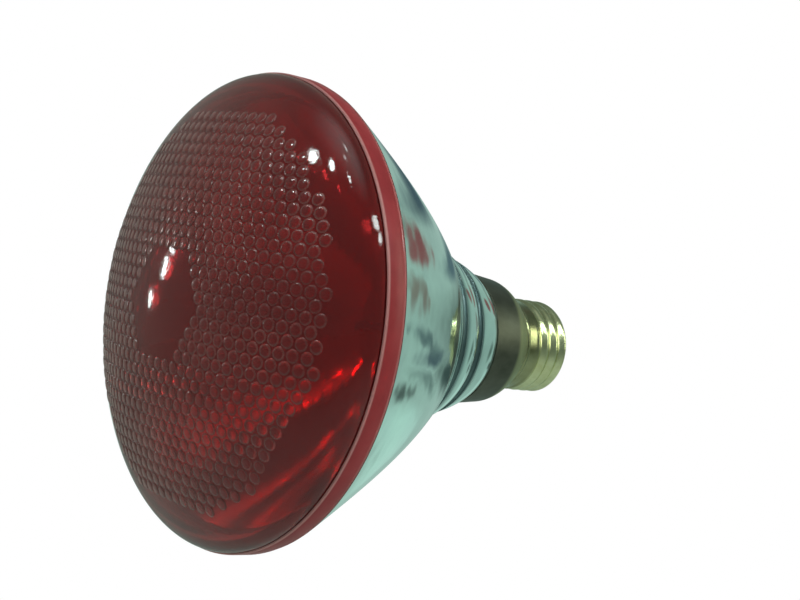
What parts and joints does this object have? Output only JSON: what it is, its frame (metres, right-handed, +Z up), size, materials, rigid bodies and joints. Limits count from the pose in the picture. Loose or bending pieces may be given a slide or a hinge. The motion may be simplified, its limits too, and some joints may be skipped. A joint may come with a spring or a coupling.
{
  "type": "infrared heat lamp",
  "caption": "Sealed-beam infrared reflector lamp with a stippled red glass lens, an aluminised glass bowl and a skirted medium screw base.",
  "frame": {"origin": "on the lamp's axis at the level of the centre contact, where the screw base bottoms in its socket", "axes": "+Y along the lamp's axis from the lens to the centre contact, +Z up, +X to the right when the lens faces the viewer along +Y"},
  "size_m": [0.1206, 0.135, 0.1206],
  "materials": {
    "red_glass": "ruby pressed glass, glossy, stippled with small round lenslets",
    "seal_glass": "fused seam, satin",
    "reflector_glass": "clear pressed glass, glossy, silvered from inside",
    "mirror_film": "aluminised, slightly mottled",
    "clear_glass": "clear",
    "nickel_steel": "nickel-iron, satin",
    "braze": "brazed fillet",
    "tungsten": "drawn wire, grey",
    "cement": "baked cement, matt",
    "dull_brass": "heat-darkened brass, dull",
    "bright_brass": "drawn brass, glossy",
    "black_glass": "black base glass, glossy",
    "copper_wire": "bare copper wire",
    "solder": "tin solder, satin"
  },
  "bodies": {
    "root": {"lens": "red_glass", "rim_seal": "seal_glass", "reflector": "reflector_glass", "mirror_film": "mirror_film", "ferrule_left": "nickel_steel", "ferrule_right": "nickel_steel", "braze_left": "braze", "braze_right": "braze", "post_left": "nickel_steel", "post_right": "nickel_steel", "filament": "tungsten", "bridge_bead": "clear_glass", "support_hook": "tungsten", "exhaust_tube": "clear_glass", "basing_cement": "cement", "skirt": "dull_brass", "screw_shell": "bright_brass", "insulator": "black_glass", "contact_disc": "bright_brass", "contact_solder": "solder", "centre_lead": "copper_wire", "fuse_sleeve": "clear_glass", "side_lead": "copper_wire", "side_solder": "solder"}
  },
  "joints": []
}
